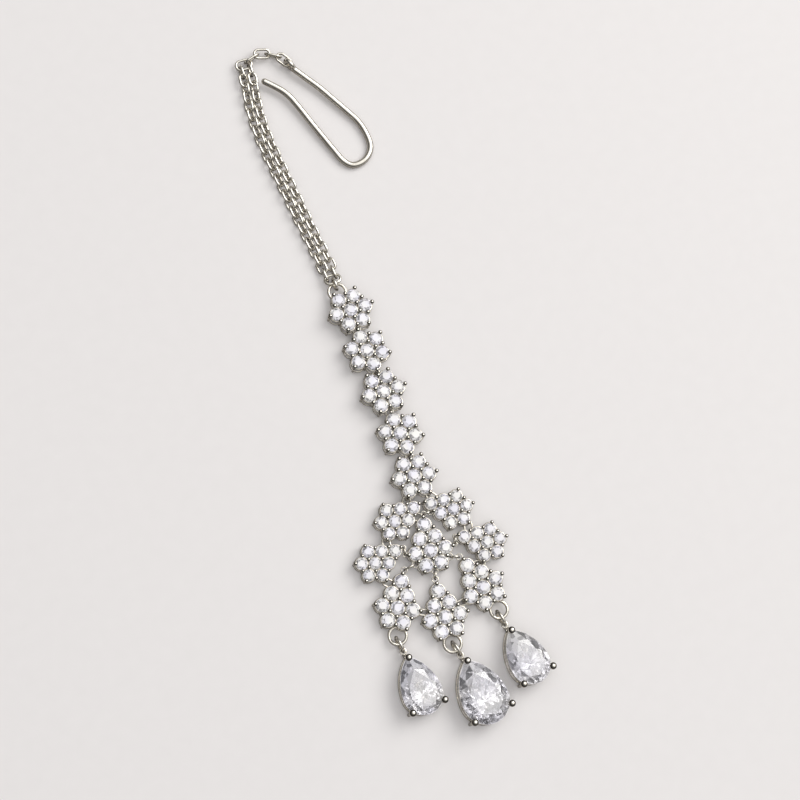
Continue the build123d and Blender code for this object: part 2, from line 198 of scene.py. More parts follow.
def math(tree, operation, first, second):
    """The result socket of a Math node."""
    made = tree.nodes.new("ShaderNodeMath")
    made.operation = operation
    feed(tree, made.inputs[0], first)
    feed(tree, made.inputs[1], second)
    return made.outputs[0]


def raised(tree, geometry, height):
    """A geometry moved up by a height."""
    lift = tree.nodes.new("ShaderNodeCombineXYZ")
    tree.links.new(height, lift.inputs[2])
    return node(tree, "GeometryNodeTransform", Geometry=geometry, Translation=lift.outputs[0]).outputs[0]


def wire_along(tree, curve, wire, sides, caps=False):
    """A round wire of a given thickness along a curve."""
    half = math(tree, "MULTIPLY", wire, 0.5)
    section = node(tree, "GeometryNodeCurvePrimitiveCircle", Resolution=sides, Radius=half)
    round_bar = section.outputs[0]
    swept = node(tree, "GeometryNodeCurveToMesh", Curve=curve, Profile_Curve=round_bar, Fill_Caps=caps)
    return swept.outputs[0]


def rounded_corners(tree, curve, radius, count):
    """A curve with its corners rounded by straight steps."""
    fillet = tree.nodes.new("GeometryNodeFilletCurve")
    fillet.mode = "POLY"
    fillet.inputs["Count"].default_value = count
    tree.links.new(curve, fillet.inputs["Curve"])
    tree.links.new(radius, fillet.inputs["Radius"])
    return fillet.outputs[0]


def point_value(tree, name, data_type):
    """The socket of an attribute that the points carry."""
    made = node(tree, "GeometryNodeInputNamedAttribute", Name=name)
    made.data_type = data_type
    return next(socket for socket in made.outputs if socket.enabled)


def stand_on(tree, points, piece, kind):
    """Instances of a piece on the points of one kind, each with its point's turn."""
    turn = point_value(tree, "turn", "FLOAT_VECTOR")
    chosen = tree.nodes.new("FunctionNodeCompare")
    chosen.data_type, chosen.operation = "INT", "EQUAL"
    tree.links.new(point_value(tree, "kind", "INT"), chosen.inputs[2])
    chosen.inputs[3].default_value = kind
    euler = node(tree, "FunctionNodeEulerToRotation", Euler=turn)
    placed = node(
        tree,
        "GeometryNodeInstanceOnPoints",
        Points=points,
        Selection=chosen.outputs[0],
        Instance=piece,
        Rotation=euler.outputs[0],
    )
    return placed.outputs[0]


def close_tree(tree, parts, out, material, smooth=True):
    """Joins the parts, realizes them, gives them their shading and material, and ends the tree."""
    whole = tree.nodes.new("GeometryNodeJoinGeometry")
    for part in reversed(parts):
        tree.links.new(part, whole.inputs[0])
    real = node(tree, "GeometryNodeRealizeInstances", Geometry=whole.outputs[0])
    shaded = node(tree, "GeometryNodeSetShadeSmooth", Geometry=real.outputs[0], Shade_Smooth=smooth)
    finished = node(tree, "GeometryNodeSetMaterial", Geometry=shaded.outputs[0], Material=material)
    tree.links.new(finished.outputs[0], out["Geometry"])


# %% Grown and dressed pieces
def grow(name, seed, tree, **sizes):
    """The plain mesh that a tree makes of its seed, as an object at the origin."""
    holder = new_object(name + "_seed", seed)
    modifier = holder.modifiers.new("grow", "NODES")
    modifier.node_group = tree
    for item in tree.interface.items_tree:
        label = item.name.replace(" ", "_")
        if item.in_out == "INPUT" and label in sizes:
            modifier[item.identifier] = sizes[label]
    graph = bpy.context.evaluated_depsgraph_get()
    mesh = bpy.data.meshes.new_from_object(holder.evaluated_get(graph), depsgraph=graph)
    bpy.data.objects.remove(holder)
    mesh.name = name
    mesh.materials.clear()
    mesh.materials.append(sizes["Material"])
    for attribute in ("turn", "kind"):
        if attribute in mesh.attributes:
            mesh.attributes.remove(mesh.attributes[attribute])
    return new_object(name, mesh)


def joined(name, objects):
    """One object made of several, with their meshes put together."""
    together = bmesh.new()
    metals = []
    for piece in objects:
        metal, start = piece.data.materials[0], len(together.faces)
        if metal not in metals:
            metals.append(metal)
        together.from_mesh(piece.data)
        together.faces.ensure_lookup_table()
        for face in together.faces[start:]:
            face.material_index = metals.index(metal)
    mesh = plain_mesh(name, together, metals[0])
    for metal in metals[1:]:
        mesh.materials.append(metal)
    for piece in objects:
        bpy.data.objects.remove(piece)
    return new_object(name, mesh)


def dress(piece, slot, *nodes):
    """Hands a finished piece to the frame: what it rides on and the nodes it stands for. The slot is not
    used.
    """
    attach(piece, "root")
    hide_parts(*nodes)


print("nodes to dress:", len(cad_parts))

# %% [markdown]
# ## The plated metal
#
# The real metal is brass under a bright rhodium-coloured plate, tumbled until it shines. A mirror alone
# looks like plastic foil, so the plate is given what tumbling leaves: a faint waviness that bends the
# reflections, patches where the polish is a little duller, and a warm tint that comes and goes. Small
# polished beads and wires also show a dark rim round a bright middle, because their sloping faces mirror
# the unlit part of a room. The group paints that rim into the colour as well, a painted reflection: faces
# turned up keep the tint, faces at a middle tilt take a dark colour, and faces turned furthest down are
# light again, as if they mirrored the paper. It is a node group, because the prongs, the fine wire and
# the hook use it with values of their own.


# %% Helpers for materials
def new_material(name):
    """A material, its tree and the inputs of its shader."""
    material = bpy.data.materials.new(name)
    material.use_nodes = True
    return material, material.node_tree, material.node_tree.nodes["Principled BSDF"].inputs


def mapped(tree, value, low, high, to_low=0.0, to_high=1.0):
    """A Map Range node, which stretches a value from one range to another and holds it at the ends."""
    return node(
        tree,
        "ShaderNodeMapRange",
        Value=value,
        From_Min=low,
        From_Max=high,
        To_Min=to_low,
        To_Max=to_high,
    )


def mixed(tree, share, first, second):
    """A Mix node for two colours."""
    made = tree.nodes.new("ShaderNodeMix")
    made.data_type = "RGBA"
    for number, value in ((0, share), (6, first), (7, second)):
        feed(tree, made.inputs[number], value)
    return made


def ramp(tree, factor, stops):
    """The colour socket of a ramp. Each stop is a position and a colour."""
    made = node(tree, "ShaderNodeValToRGB", Fac=factor)
    elements = made.color_ramp.elements
    first, *between, last = stops
    for element, (position, color) in ((elements[0], first), (elements[1], last)):
        element.position, element.color = position, (*color, 1)
    for position, color in between:
        elements.new(position).color = (*color, 1)
    return made.outputs[0]


# %% Wear of a tumbled plate, and its painted rims
GRAIN_SCALE = 6.0  # how much finer the grain is than the patches
PATCH_SPAN, GRAIN_SPAN = (0.35, 0.65), (0.3, 0.7)  # noise values from one end of an effect to the other
# Dark is the colour of the painted rim, and the turns are the upward tilts of a face at which the painted
# reflection changes between light and dark.
TINTS = ("Bright", "Dull", "Dark")
TURNS = ("Bright Below", "Dark Above", "Dark Below", "Bright Above")


def tumbled_wear_and_painted_rims():
    """A shader group: fine noise and the tilt of a face turned into a colour with painted rims, a
    roughness and a height.
    """
    group = bpy.data.node_groups.new("tumbled wear", "ShaderNodeTree")
    for label in ("Scale", *TINTS, *TURNS, "Smooth", "Rough"):
        kind = "NodeSocketColor" if label in TINTS else "NodeSocketFloat"
        group.interface.new_socket(label, in_out="INPUT", socket_type=kind)
    group.interface.new_socket("Color", in_out="OUTPUT", socket_type="NodeSocketColor")
    for label in ("Roughness", "Height"):
        group.interface.new_socket(label, in_out="OUTPUT", socket_type="NodeSocketFloat")
    given = group.nodes.new("NodeGroupInput").outputs
    put = group.nodes.new("NodeGroupOutput").inputs
    place = group.nodes.new("ShaderNodeTexCoord").outputs["Object"]
    patches = node(group, "ShaderNodeTexNoise", Vector=place, Scale=given["Scale"], Detail=3.0)
    fine_scale = math(group, "MULTIPLY", given["Scale"], GRAIN_SCALE)
    grain = node(group, "ShaderNodeTexNoise", Vector=place, Scale=fine_scale, Detail=2.0)
    spread = mapped(group, patches.outputs[0], *PATCH_SPAN)
    tint = mixed(group, spread.outputs[0], given["Bright"], given["Dull"])
    rough = mapped(group, grain.outputs[0], *GRAIN_SPAN, given["Smooth"], given["Rough"])
    # Painted reflection: faces turned up keep the tint, faces at a middle tilt take the dark colour as if
    # they mirrored the unlit room, and faces turned furthest down are light again as if they mirrored the
    # paper.
    facing = group.nodes.new("ShaderNodeSeparateXYZ")
    group.links.new(group.nodes.new("ShaderNodeNewGeometry").outputs["Normal"], facing.inputs[0])
    painted_top_light = mapped(group, facing.outputs[2], given["Dark Below"], given["Bright Above"])
    painted_top_light.interpolation_type = "SMOOTHSTEP"
    upright = mapped(group, facing.outputs[2], given["Dark Above"], given["Bright Below"])
    bright = math(group, "MAXIMUM", painted_top_light.outputs[0], upright.outputs[0])
    color = mixed(group, bright, given["Dark"], tint.outputs[2])
    group.links.new(color.outputs[2], put["Color"])
    group.links.new(rough.outputs[0], put["Roughness"])
    group.links.new(patches.outputs[0], put["Height"])
    return group


WEAR_AND_PAINTED_RIMS = tumbled_wear_and_painted_rims()
print("inputs of the wear:", [item.name for item in WEAR_AND_PAINTED_RIMS.interface.items_tree if item.in_out == "INPUT"])


# %% Three plates
PALE, SHADE = (0.93, 0.895, 0.82, 1), (0.76, 0.725, 0.655, 1)
WAVE_DEPTH = 0.05  # mm


def plated(name, scale, smooth, rough, wave, dark, turns):
    """A shiny plate with its own tumbled look and painted rims. The turns say which upward tilts of a face
    are painted dark.
    """
    material, tree, skin = new_material(name)
    skin["Metallic"].default_value = 1.0
    wear_and_painted_rims = tree.nodes.new("ShaderNodeGroup")
    wear_and_painted_rims.node_tree = WEAR_AND_PAINTED_RIMS
    labels = ("Scale", *TINTS, *TURNS, "Smooth", "Rough")
    for label, value in zip(labels, (scale, PALE, SHADE, dark, *turns, smooth, rough)):
        wear_and_painted_rims.inputs[label].default_value = value
    tree.links.new(wear_and_painted_rims.outputs["Color"], skin["Base Color"])
    tree.links.new(wear_and_painted_rims.outputs["Roughness"], skin["Roughness"])
    height = wear_and_painted_rims.outputs["Height"]
    bump = node(tree, "ShaderNodeBump", Strength=wave, Distance=WAVE_DEPTH * mm, Height=height)
    tree.links.new(bump.outputs[0], skin["Normal"])
    return material


# The dark colour of each metal is its painted rim, and its turns set the painted bands.
prong_metal = plated(
    "prong metal", 1500, 0.08, 0.16, 0.25, (0.05, 0.044, 0.038, 1), (0.3, 0.45, 0.66, 0.97)
)
wire_metal = plated("wire metal", 900, 0.1, 0.2, 0.3, (0.07, 0.063, 0.053, 1), (0.0, 0.15, 0.25, 0.6))
hook_metal = plated("hook metal", 350, 0.08, 0.16, 0.3, (0.1, 0.09, 0.08, 1), (0.1, 0.3, 0.32, 0.55))
print("metals:", [m.name for m in bpy.data.materials])

# %% [markdown]
# ## The clear stones
#
# The stones are colourless cut crystal. Light goes in through the crown, turns back on the pavilion's
# facets and comes out again, so a stone is white in the middle with grey flecks and thin lines round it.
# The shape does most of this work: real facets with a high index of refraction. Two patterns in the
# colour help it. A trace of lavender and straw gives each stone a slightly different fire. Cells that
# change from facet to facet paint some sloping facets grey and leave others white, while the flat table
# is painted white: painted shade and painted reflection for what the facets would mirror. The same
# colour also glows a little, painted light that the stone gives off though it is no lamp.


# %% Crystal
LAVENDER, STRAW = (0.93, 0.92, 1.0), (1.0, 0.985, 0.96)
FACET_STEP = 5.0  # how far apart two facets lie in the cell pattern
# The cells paint sloping facets grey, and a facet tilted up into the table span is painted white.
CELL_SPAN, TABLE_SPAN = (0.35, 0.6), (0.93, 0.98)  # cell values, and upward tilts of a facet
CRYSTAL_IOR = 2.1


def crystal(name, scale, flecks, deep, clear, glow):
    """Clear cut stone whose facets are painted light and grey by turns, with a trace of lavender and straw
    and a painted glow.
    """
    material, tree, skin = new_material(name)
    place = tree.nodes.new("ShaderNodeTexCoord").outputs["Object"]
    facet = tree.nodes.new("ShaderNodeNewGeometry").outputs["True Normal"]
    fire = node(tree, "ShaderNodeTexNoise", Vector=place, Scale=scale, Detail=1.0)
    tint = ramp(tree, fire.outputs[0], ((0.35, LAVENDER), (0.65, STRAW)))
    spot = tree.nodes.new("ShaderNodeVectorMath")
    spot.operation = "MULTIPLY_ADD"
    spot.inputs[1].default_value = (flecks, flecks, flecks)
    tree.links.new(place, spot.inputs[0])
    facets = node(tree, "ShaderNodeVectorMath", Vector=facet)
    facets.operation = "SCALE"
    facets.inputs["Scale"].default_value = FACET_STEP
    tree.links.new(facets.outputs[0], spot.inputs[2])
    cells = node(tree, "ShaderNodeTexVoronoi", Vector=spot.outputs[0], Scale=1.0)
    # Painted shade and painted reflection: the cells make sloping facets grey, and the flat table is
    # painted white.
    side = mapped(tree, cells.outputs["Color"], *CELL_SPAN, deep)
    level = node(tree, "ShaderNodeSeparateXYZ", Vector=facet)
    flat = mapped(tree, level.outputs[2], *TABLE_SPAN)
    tone = math(tree, "MAXIMUM", side.outputs[0], flat.outputs[0])
    color = mixed(tree, 1.0, tint, tone)
    color.blend_type = "MULTIPLY"
    tree.links.new(color.outputs[2], skin["Base Color"])
    # Painted light: the facet colour glows, though the stone is no lamp.
    tree.links.new(color.outputs[2], skin["Emission Color"])
    skin["Emission Strength"].default_value = glow
    skin["Roughness"].default_value = 0.0
    skin["IOR"].default_value = CRYSTAL_IOR
    skin["Transmission Weight"].default_value = clear
    return material


# For each: how grey the darkest painted facet is, how much light passes through, and how strong the
# painted glow is.
small_crystal = crystal("small crystal", 500, 1600, 0.3, 0.5, 0.15)
pear_crystal = crystal("pear crystal", 160, 900, 0.2, 0.8, 0.1)
print("stones:", small_crystal.name, "and", pear_crystal.name)

# %% [markdown]
# ## Cutting a stone
#
# A brilliant cut has a flat table, eight kites, star facets between them and upper girdle facets round
# the edge. Below the girdle, long main facets run to the point. The same cut follows any outline, so one
# function cuts the round stones and the pears: it is given the distance from the point's axis to the
# outline in each direction.

# %% The brilliant cut
MAINS = 8
STAR_SHARE, LOWER_SHARE = 0.8, 0.24  # where the star tips and the lower girdle facets end


def brilliant(outline, steps, culet, girdle_low, girdle_high, table, table_share):
    """A cut stone round the Z axis: a bmesh with a table, crown, girdle, pavilion and point."""
    stone = bmesh.new()
    sector = 360 / MAINS
    fine = [sector * k / steps for k in range(MAINS * steps)]

    def corner(angle, share, height):
        reach = outline(angle % 360) * share
        return stone.verts.new((reach * sin(radians(angle)), reach * cos(radians(angle)), height))

    def along_kite(share, near, low, high):
        """Height of a point beside a kite, so that the kite stays flat."""
        level = share * cos(radians(sector / 2))
        return high + (low - high) * (level - near) / (1 - near)

    star_height = along_kite(STAR_SHARE, table_share, girdle_high, table)
    lower_height = along_kite(LOWER_SHARE, 0.0, girdle_low, culet)
    tables = [corner(sector * k, table_share, table) for k in range(MAINS)]
    stars = [corner(sector * (k + 0.5), STAR_SHARE, star_height) for k in range(MAINS)]
    upper = [corner(angle, 1.0, girdle_high) for angle in fine]
    lower = [corner(angle, 1.0, girdle_low) for angle in fine]
    belly = [corner(sector * (k + 0.5), LOWER_SHARE, lower_height) for k in range(MAINS)]
    point = stone.verts.new((0, 0, culet))
    stone.faces.new(tables)
    middle = steps // 2
    for k in range(MAINS):
        after, first = (k + 1) % MAINS, k * steps
        span = [(first + j) % len(fine) for j in range(steps + 1)]
        stone.faces.new((tables[k], stars[k], tables[after]))
        for tip, facet, edge in (
            (stars[k], (tables[k], stars[k - 1], upper[first], stars[k]), upper),
            (belly[k], (point, belly[k - 1], lower[first], belly[k]), lower),
        ):
            stone.faces.new(facet)
            stone.faces.new([tip] + [edge[j] for j in span[: middle + 1]])
            stone.faces.new([tip] + [edge[j] for j in span[middle:]])
    for k in range(len(fine)):
        after = (k + 1) % len(fine)
        stone.faces.new((upper[k], upper[after], lower[after], lower[k]))
    bmesh.ops.recalc_face_normals(stone, faces=stone.faces)
    return stone


print("facets in a crown:", 1 + 4 * MAINS)

# %% Round stones on their seats
CLUSTERS = sorted(name[: -len("_stones")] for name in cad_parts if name.endswith("_stones"))
ROUND_CULET, ROUND_GIRDLE, ROUND_EDGE, ROUND_TABLE = 1.05, 1.97, 2.05, 2.38  # mm above the base
TABLE_SHARE = 0.58
APART, PITCH_PLAY = 0.1, 0.05  # mm between two stones at least, and a share of the pitch


def read_cluster(name):
    """Where a cluster lies: its base's origin and axes, its pitch, and its stones' places on the base."""
    stones = islands(name + "_stones")
    middles = np.array([(stone.min(0) + stone.max(0)) / 2 for stone in stones])
    means = np.array([stone.mean(0) for stone in stones])
    gaps = np.linalg.norm(means[:, None] - means[None], axis=-1)
    pitch = gaps[gaps > APART * mm].min()
    neighbours = (abs(gaps - pitch) < PITCH_PLAY * pitch).sum(1)
    first = int(neighbours.argmax())
    normal = np.linalg.svd(means - means.mean(0))[2][2]
    normal *= np.sign(normal[2])
    across = unit(np.cross([0.0, 1.0, 0.0], normal))
    axes = np.array([across, np.cross(normal, across), normal])
    low = min((stone @ normal).min() for stone in stones)
    origin = means[first] + normal * (low - ROUND_CULET * mm - means[first] @ normal)
    return {
        "origin": origin,
        "axes": axes,
        "pitch": pitch,
        "seats": (means - origin) @ axes[:2].T,
        "stone": max(np.ptp((stone - middle) @ across) for stone, middle in zip(stones, middles)),
    }


clusters = {name: read_cluster(name) for name in CLUSTERS}
for name, cluster in clusters.items():
    print(name, "stones:", len(cluster["seats"]), "pitch in mm:", round(cluster["pitch"] / mm, 3))

# %% [markdown]
# ## Setting the round stones
#
# All the round stones are the same cut. One stone of unit width is made once and Geometry Nodes stand it
# on the seats of each cluster, scaled to the width that the CAD gives.

# %% Stones on their seats
STONE_TREE, given, out = new_tree("stones on seats", ["Width"])
STONE_TREE.interface.new_socket("Stone", in_out="INPUT", socket_type="NodeSocketObject")
cut = node(STONE_TREE, "GeometryNodeObjectInfo", Object=given["Stone"])
sized = node(STONE_TREE, "GeometryNodeTransform", Geometry=cut.outputs["Geometry"])
cube_size = STONE_TREE.nodes.new("ShaderNodeCombineXYZ")
for socket in cube_size.inputs:
    STONE_TREE.links.new(given["Width"], socket)
STONE_TREE.links.new(cube_size.outputs[0], sized.inputs["Scale"])
seated = stand_on(STONE_TREE, given["Geometry"], sized.outputs[0], 0)
close_tree(STONE_TREE, [seated], out, given["Material"], smooth=False)

ROUND_STEPS = 4  # girdle edges in an eighth of the stone
stone_cuts = {}


def round_cut(width):
    """The object of a round stone of unit width, for stones this many millimetres wide."""
    key = round(width / mm, 2)
    if key not in stone_cuts:
        heights = [level / key for level in (ROUND_CULET, ROUND_GIRDLE, ROUND_EDGE, ROUND_TABLE)]
        stone = brilliant(lambda angle: 0.5, ROUND_STEPS, *heights, TABLE_SHARE)
        mesh = plain_mesh(f"round cut {key}", stone, small_crystal)
        stone_cuts[key] = bpy.data.objects.new(mesh.name, mesh)
    return stone_cuts[key]


def on_base(cluster, x, y, z=0.0):
    """A point of a cluster's base in the frame."""
    return cluster["origin"] + np.array([x, y, z]) @ cluster["axes"]


for name, cluster in clusters.items():
    rows = [(on_base(cluster, *seat), cluster["axes"], 0) for seat in cluster["seats"]]
    piece = grow(
        name + "_cut_stones",
        seed_points(name + " seats", rows),
        STONE_TREE,
        Width=float(cluster["stone"]),
        Stone=round_cut(cluster["stone"]),
        Material=small_crystal,
    )
    dress(piece, "clear_stone", name + "_stones")
for cut_object in stone_cuts.values():
    bpy.data.objects.remove(cut_object)
print("round stones:", sum(len(cluster["seats"]) for cluster in clusters.values()))

# %% [markdown]
# ## The pear stones
#
# A pear outline is a half circle with two long arcs that meet in the tip. Seen from the middle of the
# round end, the distance to it in each direction has a short formula, so the same cut fits it. The CAD
# stone says where the tip is, how wide the pear is and how high its girdle and table stand.


# %% Pear outline
CULET_SPAN, TIP_SPAN = 0.01, 0.02  # mm: corners this near belong to the point or to the tip


def read_pear(side):
    """A pear stone's origin, axes, width, tip distance and heights from the CAD."""
    corners = islands(f"pear_{side}_stone")[0]
    low, high = corners[:, 2].min(), corners[:, 2].max()
    origin = corners[corners[:, 2] < low + CULET_SPAN * mm].mean(0)
    origin[2] = 0.0
    reach = np.linalg.norm((corners - origin)[:, :2], axis=1)
    tip = corners[reach > reach.max() - TIP_SPAN * mm]
    toward = unit((tip.mean(0) - origin) * [1, 1, 0])
    axes = np.array([[toward[1], -toward[0], 0], toward, [0, 0, 1.0]])
    return {
        "origin": origin,
        "axes": axes,
        "width": np.ptp((corners - origin) @ axes[0]),
        "tip": reach.max(),
        "heights": [low, tip[:, 2].min(), tip[:, 2].max(), high],
    }


def pear_reach(width, tip, inset=0.0):
    """A function that gives the distance to the pear's outline in a direction, in degrees from the tip."""
    bend = (tip**2 + width**2 / 4) / width
    aside, radius = bend - width / 2, bend - inset

    def reach(angle):
        from_tip = radians(min(angle, 360 - angle))
        if from_tip > pi / 2:
            return width / 2 - inset
        return sqrt(radius**2 - (aside * cos(from_tip)) ** 2) - aside * sin(from_tip)

    return reach


pears = {side: read_pear(side) for side in ("left", "middle", "right")}
for side, pear in pears.items():
    print(side, "pear, width and tip in mm:", round(pear["width"] / mm, 2), round(pear["tip"] / mm, 2))


# %% Cut pears
PEAR_STEPS, PEAR_TABLE = 6, 0.64


def stand_pear(pear):
    """The move from a pear's own axes to its place."""
    return Matrix.Translation(pear["origin"]) @ turn_of(pear["axes"]).to_4x4()


for side, pear in pears.items():
    stone = brilliant(pear_reach(pear["width"], pear["tip"]), PEAR_STEPS, *pear["heights"], PEAR_TABLE)
    mesh = plain_mesh(f"pear_{side}_cut_stone", stone, pear_crystal)
    mesh.transform(stand_pear(pear))
    dress(new_object(mesh.name, mesh), "clear_stone", f"pear_{side}_stone")
    print(side, "pear, facets:", len(mesh.polygons))

# %% [markdown]
# ## Links and jump rings
#
# Every link of the chain and every jump ring is a closed loop of round wire, some round, some oval. A
# rectangle with its corners rounded until they meet is both: its length and width decide. The tree
# sweeps a round section along it and stands the loop wherever the CAD has one.

# %% A loop of wire
LOOP_ROUNDING, CORNER_STEPS = 0.495, 9  # a corner's radius over the shorter side, just under a half
LOOP_SIDES = 12
LOOP_TREE, given, out = new_tree("loops of wire", ["Long", "Wide", "Wire"])
long_line = math(LOOP_TREE, "SUBTRACT", given["Long"], given["Wire"])
wide_line = math(LOOP_TREE, "SUBTRACT", given["Wide"], given["Wire"])
frame_line = node(LOOP_TREE, "GeometryNodeCurvePrimitiveQuadrilateral", Width=long_line, Height=wide_line)
shorter = math(LOOP_TREE, "MINIMUM", long_line, wide_line)
corner_radius = math(LOOP_TREE, "MULTIPLY", shorter, LOOP_ROUNDING)
rounded = rounded_corners(LOOP_TREE, frame_line.outputs[0], corner_radius, CORNER_STEPS)
loop = wire_along(LOOP_TREE, rounded, given["Wire"], LOOP_SIDES)
loops = stand_on(LOOP_TREE, given["Geometry"], loop, 0)
close_tree(LOOP_TREE, [loops], out, given["Material"])
print("loop tree nodes:", len(LOOP_TREE.nodes))


# %% Loops for the chain and the rings
LOOP_NODES = sorted(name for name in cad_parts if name.startswith(("chain_", "ring_", "drop_ring_")))


def wire_loops(name, places, material):
    """Loops of wire at the given places, each a middle, axes and extents, joined in one object."""
    alike = {}
    for middle, axes, extent in places:
        alike.setdefault(tuple(np.round(extent / mm, 1)), []).append((middle, axes, extent))
    made = []
    for k, group in enumerate(alike.values()):
        seed = seed_points(f"{name} places {k}", [(middle, axes, 0) for middle, axes, _ in group])
        extent = np.mean([row[2] for row in group], axis=0)
        sizes = dict(zip(("Long", "Wide", "Wire"), map(float, extent)))
        made.append(grow(f"{name}_{k}", seed, LOOP_TREE, Material=material, **sizes))
    return joined(name, made)


ring_places = {}
for name in LOOP_NODES:
    ring_places[name] = [lie_of(island) for island in islands(name)]
    dress(wire_loops(name + "_wire", ring_places[name], wire_metal), "bright_metal", name)
print("loops of wire:", sum(len(places) for places in ring_places.values()))

# %% [markdown]
# ## The cluster baskets
#
# Each cluster is an open basket: a thin wire ring round every stone at the base and another at the seat,
# upright prongs where stones meet and at the star's tips, and on each prong a bead that was melted down
# over the stones' edges. All of it is soldered into one. The rings are wire metal and the prongs and beads
# prong metal. The prong places follow from the stones: one in each gap between three stones, one in each
# notch and one outside each outer stone.

# %% A basket of rings, prongs and beads
SEAT_KIND, PRONG_KIND, BEAD_KIND = 0, 1, 2
RING_STEPS, RING_SIDES, PRONG_SIDES, BEAD_SEGMENTS, BEAD_ROWS = 28, 8, 14, 18, 12
BASKET_TREE, given, out = new_tree(
    "basket", ["Ring", "Ring Wire", "Base Height", "Seat Height", "Prong", "Prong Height", "Bead"]
)


def ring_at(tree, given, height):
    """A ring of round wire that lies flat at a height."""
    line = node(tree, "GeometryNodeCurvePrimitiveCircle", Resolution=RING_STEPS, Radius=given["Ring"])
    ring = wire_along(tree, line.outputs[0], given["Ring Wire"], RING_SIDES)
    return raised(tree, ring, height)


prong = node(
    BASKET_TREE,
    "GeometryNodeMeshCylinder",
    Vertices=PRONG_SIDES,
    Radius=given["Prong"],
    Depth=given["Prong Height"],
)
half_height = math(BASKET_TREE, "MULTIPLY", given["Prong Height"], 0.5)
bead = node(
    BASKET_TREE,
    "GeometryNodeMeshUVSphere",
    Segments=BEAD_SEGMENTS,
    Rings=BEAD_ROWS,
    Radius=given["Bead"],
)
parts = [
    stand_on(BASKET_TREE, given["Geometry"], piece, kind)
    for piece, kind in (
        (ring_at(BASKET_TREE, given, given["Base Height"]), SEAT_KIND),
        (ring_at(BASKET_TREE, given, given["Seat Height"]), SEAT_KIND),
        (raised(BASKET_TREE, prong.outputs[0], half_height), PRONG_KIND),
        (raised(BASKET_TREE, bead.outputs[0], given["Prong Height"]), BEAD_KIND),
    )
]
close_tree(BASKET_TREE, parts, out, given["Material"])
print("basket tree nodes:", len(BASKET_TREE.nodes))

# %% [markdown]
# A cluster of eight has its last stone nested outside two of the ring of six. The prongs that would
# stand under it are left out, and three more stand round it.

# %% Prongs of a cluster
INNER, NOTCH, TIP, SIDE = 0.577, 1.1, 1.52, 1.528  # prong distances over the pitch
BEAD_IN = 0.05  # an outer bead leans in over its stone by this share of the pitch
SIDE_TURN, EXTRA_SPREAD, SAME_TURN = 19.1, 35, 2  # degrees
SIX_FROM, SIX_TO = 0.5, 1.4  # over the pitch: the ring of six lies between, the eighth stone beyond


def apart(angle, other):
    """Degrees between two directions."""
    return abs((angle - other + 180) % 360 - 180)


def prong_spots(cluster):
    """Distance, direction and lean of each prong of a cluster, on its base."""
    pitch = cluster["pitch"]
    seats = np.array(cluster["seats"]) / pitch
    reach = np.hypot(*seats.T)
    heading = np.degrees(np.arctan2(seats[:, 1], seats[:, 0]))
    first = heading[(reach > SIX_FROM) & (reach < SIX_TO)][0]
    extra = heading[reach > SIX_TO][0] if (reach > SIX_TO).any() else None
    spots = []
    for k in range(6):
        tip, notch = first + 60 * k, first + 60 * k + 30
        spots.append((INNER, notch, 0.0))
        if extra is None or apart(tip, extra) > EXTRA_SPREAD:
            spots.append((TIP, tip, BEAD_IN))
        under = extra is not None and apart(notch, extra) < SAME_TURN
        spots.append((2 * INNER if under else NOTCH, notch, 0.0))
    if extra is not None:
        spots.append((SIDE, extra + SIDE_TURN, 0.0))
        spots.append((SIDE, extra - SIDE_TURN, 0.0))
        spots.append((sqrt(3) + TIP - 1, extra, BEAD_IN))
    return [(distance * pitch, angle, lean * pitch) for distance, angle, lean in spots]


def heading_of(distance, angle):
    """X and Y of a point at a distance in a direction."""
    return distance * cos(radians(angle)), distance * sin(radians(angle))


for name in ("line_1", "centre"):
    print(name, "prongs:", len(prong_spots(clusters[name])))

# %% [markdown]
# Two more things are soldered to a basket: an open loop on the outermost prong, where a chain or a drop
# hangs, and tiny eyelets for the upright rings between the middle cluster and its neighbours. The rings'
# places give the eyelets: each one sits where its ring comes down beside a prong.

# %% Soldered loops and eyelets
LOOP_WIDE, LOOP_WIRE = 3.4, 0.52
# cluster: distance, direction and height of its soldered loop, in mm and degrees
SOLDERED = {
    "line_1": (3.98, 103.3, 0.99),
    "petal_lower_left": (4.47, 251.6, 1.0),
    "petal_lower_right": (4.47, 287.2, 1.0),
    "petal_bottom": (4.40, 267.1, 1.0),
}
EYELET_HEIGHT, EYELET_RIM, NEAR_PRONG = 1.625, 0.2, 0.8  # mm
UPRIGHT = sorted(name for name in ring_places if name.startswith("ring_centre_"))


def soldered_places(name, cluster):
    """Middles, axes and extents of a cluster's loop and eyelets."""
    places = []
    if name in SOLDERED:
        distance, angle, height = SOLDERED[name]
        x, y = heading_of(distance * mm, angle)
        extent = np.array([LOOP_WIDE, LOOP_WIDE, LOOP_WIRE]) * mm
        places.append((on_base(cluster, x, y, height * mm), cluster["axes"], extent))
    prongs = [on_base(cluster, *heading_of(*spot[:2])) for spot in prong_spots(cluster)]
    for ring in UPRIGHT:
        if name not in ("centre", ring.removeprefix("ring_centre_")):
            continue
        middle, axes, extent = ring_places[ring][0]
        arm = unit(np.cross(axes[2], [0, 0, 1])) * (extent[0] - extent[2]) / 2
        for end in (middle - arm, middle + arm):
            reach = min(np.hypot(*(prong_at - end)[:2]) for prong_at in prongs)
            if reach < NEAR_PRONG * mm:
                place = np.array([end[0], end[1], EYELET_HEIGHT * mm])
                size = np.array([2 * reach, 2 * reach, EYELET_RIM * mm])
                places.append((place, np.eye(3), size))
    return places


print("upright rings with eyelets:", UPRIGHT)


# %% Baskets for all the clusters
PRONG_SHARE, BEAD_SHARE, RING_SHARE = 0.078, 0.14, 0.455  # over the pitch
RING_WIRE_SIZE, BASE_MIDDLE, SEAT_MIDDLE, PRONG_TOP = 0.3, 0.15, 1.62, 2.42  # mm

